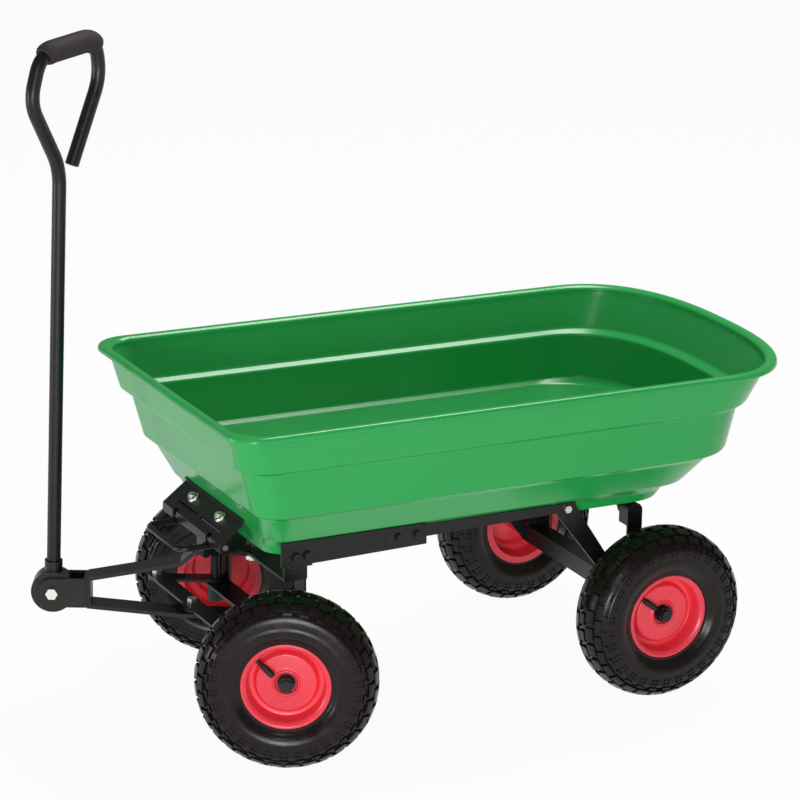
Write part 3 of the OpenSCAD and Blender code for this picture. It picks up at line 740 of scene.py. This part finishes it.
@dataclass
class WheelPlace:
    """Where one wheel is: its middle in metres, and its axle's outward direction."""

    name: str
    middle: Vector
    axle: Vector

    @classmethod
    def of(cls, name: str) -> "WheelPlace":
        """Reads a wheel's place from its joint.

        Args:
            name: Such as front_left.

        Returns:
            The wheel's place.
        """
        joint = next(j for j in frame["joints"] if j["child"] == f"wheel_{name}")
        outward = 1.0 if name.endswith("left") else -1.0
        return cls(name, Vector(joint["pos_m"]), Vector(joint["axis"]).normalized() * outward)

    def point(self, radius: float, offset: float, turn: float) -> Point:
        """A point of the wheel in the cart's frame.

        Args:
            radius: Distance from the axle, in millimetres.
            offset: Distance outwards along the axle, in millimetres.
            turn: Angle round the axle, in radians.

        Returns:
            The point, in metres.
        """
        up = Vector((0.0, 0.0, 1.0))
        ahead = self.axle.cross(up)
        spot = (self.middle + self.axle * offset * MM
                + (ahead * math.cos(turn) + up * math.sin(turn)) * radius * MM)
        return tuple(spot)

    def turned(self, section: Sequence[Pair], turns: int) -> Mesh:
        """Turns a closed section round the axle.

        Args:
            section: Radius and offset of each corner, in millimetres.
            turns: Steps round the wheel.

        Returns:
            The points and the faces.
        """
        rings = [[self.point(r, y, math.tau * k / turns) for r, y in section] for k in range(turns)]
        return skin(rings, True)


@dataclass(frozen=True)
class TreadBlock:
    """A kind of tread block.

    It has its first and last angle round the section, its start and end in pitches round the wheel, how far
    its top lies inside the outer surface in millimetres, and its taper in degrees.
    """

    first_deg: float
    last_deg: float
    start: float
    end: float
    inset: float
    taper_deg: float


@dataclass
class Tyre:
    """A pneumatic tyre with tread blocks, shoulder blocks and rows of small squares. Sizes in millimetres.

    Angles round the section are in degrees, 90 at the crown. A ramp is the angle where the ground between the
    blocks starts to sink, and the angle over which it does. The groove is its middle angle and its spread.
    """

    diameter: float = 260.0
    width: float = 82.0
    power: float = 2.3
    rim_d: float = 128.0
    rim_w: float = 62.0
    bead_r: float = 57.3
    bead_in: float = 3.4
    bead_gap: float = 0.6
    side_gap: float = 2.6
    lining_rise: float = 9.0
    lining_half: float = 20.0
    turns: int = 144
    section_deg: tuple[int, int, int] = (-52, 233, 3)
    stud: float = 1.5
    stud_ramp: Pair = (-8.0, 5.0)
    lug: float = 3.6
    lug_ramp: Pair = (20.0, 10.0)
    groove: Pair = (-34.0, 5.0)
    groove_depth: float = 0.6
    pitch_count: int = 30
    phases: Pair = (0.25, 0.75)
    block_grid: tuple[int, int] = (4, 3)
    block_root: float = 0.8
    turn_taper: float = 0.6
    crown: TreadBlock = TreadBlock(84, 96, 0.5 / 12, 0.62, 0.0, 1.0)
    side_blocks: tuple[TreadBlock, ...] = (
        TreadBlock(58, 79, 0.0, 0.7, 0.0, 1.2), TreadBlock(37, 54, 0.5, 1.26, 0.1, 0.9),
        TreadBlock(24, 30, 0.1, 0.62, 0.2, 0.5),
        TreadBlock(3, 8, 0.12, 0.31, 0.0, 0.3), TreadBlock(3, 8, 0.44, 0.63, 0.0, 0.3),
        TreadBlock(12, 17, 0.12, 0.31, 0.0, 0.3), TreadBlock(12, 17, 0.44, 0.63, 0.0, 0.3))

    @property
    def pitch_deg(self) -> float:
        """The angle of one pitch round the wheel."""
        return 360 / self.pitch_count

    def curve(self, part: float) -> float:
        """A sine or cosine, bent towards a squarer section."""
        return math.copysign(abs(part) ** (2 / self.power), part)

    def section(self, a_deg: float, inset: float) -> Pair:
        """A point of the section: its radius and its distance from the middle plane.

        Args:
            a_deg: Angle round the section.
            inset: Distance inside the outer surface.

        Returns:
            Radius and offset.
        """
        a = math.radians(a_deg)
        centre = (self.diameter / 2 + self.bead_r) / 2
        return (centre + (self.diameter / 2 - centre - inset) * self.curve(math.sin(a)),
                (self.width / 2 - inset) * self.curve(math.cos(a)))

    def relief(self, a_deg: float) -> float:
        """How far the ground between the blocks lies inside the outer surface.

        Args:
            a_deg: Angle round the section.

        Returns:
            The depth.
        """
        a = min(a_deg, 180 - a_deg)
        ramps = (self.stud_ramp, self.lug_ramp)
        studs, lugs = (min(1.0, max(0.0, (a - start) / run)) for start, run in ramps)
        middle, spread = self.groove
        return (self.stud * studs + (self.lug - self.stud) * lugs
                + self.groove_depth * math.exp(-((a - middle) / spread) ** 2))

    def carcass(self) -> list[Pair]:
        """The section of the tyre below its blocks, with a bead at both ends.

        Returns:
            Radius and offset of each corner.
        """
        inner, seat = self.rim_w / 2 - self.bead_in, self.rim_d / 2 + self.bead_gap
        bead = [(self.bead_r, inner), (seat, inner), (seat, self.rim_w / 2)]
        line = [self.section(a, self.relief(a)) for a in range(*self.section_deg)]
        outer = [p for p in line if p[0] > self.rim_d / 2 + self.side_gap]
        top, half = self.bead_r + self.lining_rise, self.lining_half
        lining = [(self.bead_r, -half), (top, -half), (top, half), (self.bead_r, half)]
        return bead + outer + [(r, -y) for r, y in reversed(bead)] + lining

    def layer(self, angles: Pair, turns: Pair, inset: float) -> list[Point]:
        """A grid of points, for the top or the foot of a block.

        Args:
            angles: First and last angle round the section.
            turns: First and last angle round the wheel, in degrees.
            inset: Distance inside the outer surface.

        Returns:
            Radius, offset and turn in degrees of each point.
        """
        rows, columns = self.block_grid
        across = [angles[0] + (angles[1] - angles[0]) * i / (rows - 1) for i in range(rows)]
        along = [turns[0] + (turns[1] - turns[0]) * j / (columns - 1) for j in range(columns)]
        return [(*self.section(a, inset), t) for a in across for t in along]

    def block(self, kind: TreadBlock, turn_deg: float, side: int) -> Mesh:
        """One tread block on the carcass.

        Args:
            kind: The kind of block.
            turn_deg: Where its pitch starts round the wheel.
            side: 1 for the outer side of the wheel and -1 for the inner one.

        Returns:
            Points as radius, offset and turn in degrees, and faces.
        """
        m, n = self.block_grid
        a0, a1 = (a if side > 0 else 180 - a for a in (kind.first_deg, kind.last_deg))
        t0, t1 = (turn_deg + share * self.pitch_deg for share in (kind.start, kind.end))
        wider, longer = kind.taper_deg, kind.taper_deg * self.turn_taper
        top = self.layer((a0, a1), (t0, t1), kind.inset)
        foot = self.layer((a0 - wider, a1 + wider), (t0 - longer, t1 + longer), self.lug + self.block_root)
        grid = [[i * n + j, i * n + j + 1, (i + 1) * n + j + 1, (i + 1) * n + j]
                for i in range(m - 1) for j in range(n - 1)]
        rim = ([j for j in range(n)] + [i * n + n - 1 for i in range(1, m)]
               + [(m - 1) * n + j for j in range(n - 2, -1, -1)] + [i * n for i in range(m - 2, 0, -1)])
        walls = [[p, q, q + m * n, p + m * n] for p, q in zip(rim, rim[1:] + rim[:1])]
        return top + foot, grid + walls

    def blocks(self) -> list[Mesh]:
        """All the blocks: a broken line on the crown, then bars and two rows of double squares on each side.

        Returns:
            For each block, points as radius, offset and turn in degrees, and faces.
        """
        kinds = [(self.crown, 0.0, 1)]
        kinds += [(kind, phase, side)
                  for side, phase in zip((1, -1), self.phases) for kind in self.side_blocks]
        return [self.block(kind, (k + phase) * self.pitch_deg, side)
                for k in range(self.pitch_count) for kind, phase, side in kinds]

    def build(self, shop: Workshop, place: WheelPlace) -> None:
        """Makes the tyre of one wheel in place of its solid.

        Args:
            shop: The workshop.
            place: Where the wheel is.
        """
        bodies = [place.turned(self.carcass(), self.turns)]
        for corners, sides in self.blocks():
            bodies.append(([place.point(r, y, math.radians(t)) for r, y, t in corners], sides))
        points, faces = join(bodies)
        made = shop.piece(f"tread_{place.name}", points, faces, Slot.TYRE, f"wheel_{place.name}", 30.0)
        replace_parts(made, f"tyre_{place.name}")


@dataclass
class Rim:
    """A pressed steel rim: a rolled flange, a deep groove and a raised disc with a cupped hub.

    Sizes in millimetres. A point of face or back is a radius and a distance outwards along the axle.
    """

    turns: int = 96
    softness: float = 1.6
    face: tuple[Pair, ...] = (
        (64, 28), (64, 31), (60, 31), (55.5, 27.5), (54, 20), (53.5, 5), (46.5, 4), (42.5, 14), (20.5, 14.5),
        (18.5, 17), (16.5, 17), (15, 12), (11.2, 12))
    back: tuple[Pair, ...] = (
        (11.2, -42), (15, -42), (15, 10), (40, 11), (44, 1), (54, 1), (54, -31), (64, -31), (64, -28),
        (57, -28), (57, 28))

    def build(self, shop: Workshop, place: WheelPlace) -> None:
        """Makes the rim of one wheel in place of its solid.

        Args:
            shop: The workshop.
            place: Where the wheel is.
        """
        section = round_corners(self.face, self.softness) + list(self.back)
        points, faces = place.turned(section, self.turns)
        made = shop.piece(f"disc_{place.name}", points, faces, Slot.RIM, f"wheel_{place.name}", 30.0)
        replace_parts(made, f"rim_{place.name}")


@dataclass
class InnerTube:
    """An inner tube with its valve stem and cap. Sizes in millimetres.

    An end of the stem is a radius and a distance outwards along the axle. A row of stem is a share of its
    length and a radius.
    """

    middle_r: float = 93.6
    half_high: float = 30.0
    half_wide: float = 34.0
    turns: int = 60
    sides: int = 20
    stem_from: Pair = (66.0, 7.5)
    stem_to: Pair = (23.0, 25.0)
    stem_deg: float = 38.0
    stem: tuple[Pair, ...] = (
        (0, 4.4), (0.25, 4.4), (0.3, 3.3), (0.56, 3.3), (0.58, 4.5), (0.97, 4.5), (1, 3.9))

    def build(self, shop: Workshop, place: WheelPlace) -> None:
        """Makes the tube and the stem of one wheel in place of their solid.

        Args:
            shop: The workshop.
            place: Where the wheel is.
        """
        ring = [math.radians(360 * k / self.sides) for k in range(self.sides)]
        section = [(self.middle_r + self.half_high * math.sin(a), self.half_wide * math.cos(a)) for a in ring]
        turn = math.radians(self.stem_deg if place.name.endswith("left") else 180 - self.stem_deg)
        low, high = (Vector(place.point(*end, turn)) for end in (self.stem_from, self.stem_to))
        along = (high - low).normalized()
        across = along.cross(place.axle).normalized()
        up = across.cross(along)
        rings = [[tuple(low.lerp(high, t) + (across * math.cos(a) + up * math.sin(a)) * r * MM) for a in ring]
                 for t, r in self.stem]
        points, faces = join([place.turned(section, self.turns), skin(rings, False)])
        made = shop.piece(f"valve_{place.name}", points, faces, Slot.INNER_TUBE, f"wheel_{place.name}", 35.0)
        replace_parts(made, f"inner_tube_{place.name}")


@dataclass(frozen=True)
class Lamp:
    """A square soft lamp: its place and its width in metres, and its power in watts."""

    name: str
    spot: Point
    size: float
    power: float


@dataclass
class Studio:
    """The pale floor, the soft light and the camera.

    Places are in metres, the lens and its sensor in millimetres.
    """

    camera_at: Point = (2.5277, 4.2147, 2.0032)
    target: Point = (0.4113, 0.1762, 0.5028)
    roll_deg: float = 0.63
    lens: float = 154.2
    sensor: float = 36.0
    floor_half: float = 150.0
    floor_colour: Colour = (0.9, 0.9, 0.9)
    floor_roughness: float = 0.85
    floor_glow: float = 0.95
    sky: float = 0.23
    lit: Point = (0.25, 0.0, 0.35)
    lamps: tuple[Lamp, ...] = (
        Lamp("key", (2.3, 3.4, 0.42), 1.1, 71.0), Lamp("front", (3.8, -0.6, 0.32), 0.9, 25.0),
        Lamp("corner", (1.7, 2.5, 1.9), 0.6, 9.0), Lamp("top", (-1.0, -0.6, 3.2), 1.2, 68.0))

    def camera(self) -> None:
        """Places the camera at the photograph's view."""
        data = bpy.data.cameras.new("camera")
        data.sensor_width = self.sensor
        data.lens = self.lens
        made = add_object("camera", data)
        aim = (Vector(self.target) - Vector(self.camera_at)).to_track_quat("-Z", "Y")
        spin = aim.to_matrix().to_4x4() @ Matrix.Rotation(math.radians(self.roll_deg), 4, "Z")
        made.matrix_world = Matrix.Translation(self.camera_at) @ spin
        bpy.context.scene.camera = made

    def floor(self) -> None:
        """Lays a pale floor that keeps the cart's shadow."""
        mesh = bpy.data.meshes.new("floor")
        r = self.floor_half
        mesh.from_pydata([(-r, -r, 0), (r, -r, 0), (r, r, 0), (-r, r, 0)], [], [[0, 1, 2, 3]])
        g = Graph("floor_white")
        g.surface(Base_Color=tint(self.floor_colour), Roughness=self.floor_roughness)
        seen = (g.node("ShaderNodeLightPath", output="Is Camera Ray")
                + g.node("ShaderNodeLightPath", output="Is Glossy Ray"))
        glow = g.node("ShaderNodeEmission", None, {"Strength": 1.0})
        matte = Value(g, g.shader.outputs[0])
        pale = g.node("ShaderNodeMixShader", None, {0: seen * self.floor_glow, 1: matte, 2: glow})
        g.feed(g.tree.nodes["Material Output"].inputs["Surface"], pale)
        mesh.materials.append(g.material)
        made = add_object("floor", mesh)

    def light(self) -> None:
        """Sets the world and the soft lamps."""
        world = bpy.data.worlds.new("studio")
        world.use_nodes = True
        sky = world.node_tree.nodes["Background"]
        sky.inputs["Color"].default_value = (1.0, 1.0, 1.0, 1.0)
        sky.inputs["Strength"].default_value = self.sky
        bpy.context.scene.world = world
        for lamp in self.lamps:
            data = bpy.data.lights.new(lamp.name, "AREA")
            data.size = lamp.size
            data.energy = lamp.power
            made = add_object(lamp.name, data)
            made.location = lamp.spot
            facing = Vector(self.lit) - Vector(lamp.spot)
            made.rotation_euler = facing.to_track_quat("-Z", "Y").to_euler()
        bpy.context.scene.view_settings.view_transform = "Standard"


def main() -> None:
    """Builds the cart's looks in order."""
    shop = Workshop()
    shop.dress_nodes()
    tub = Tub()
    tub.build(shop)
    LatchBracket(tub).build(shop)
    Handle().build(shop)
    for name in ("front_left", "front_right", "rear_left", "rear_right"):
        place = WheelPlace.of(name)
        for assembly in (Tyre(), Rim(), InnerTube()):
            assembly.build(shop, place)
    studio = Studio()
    studio.floor()
    studio.light()
    studio.camera()


if __name__ == "__main__":
    main()
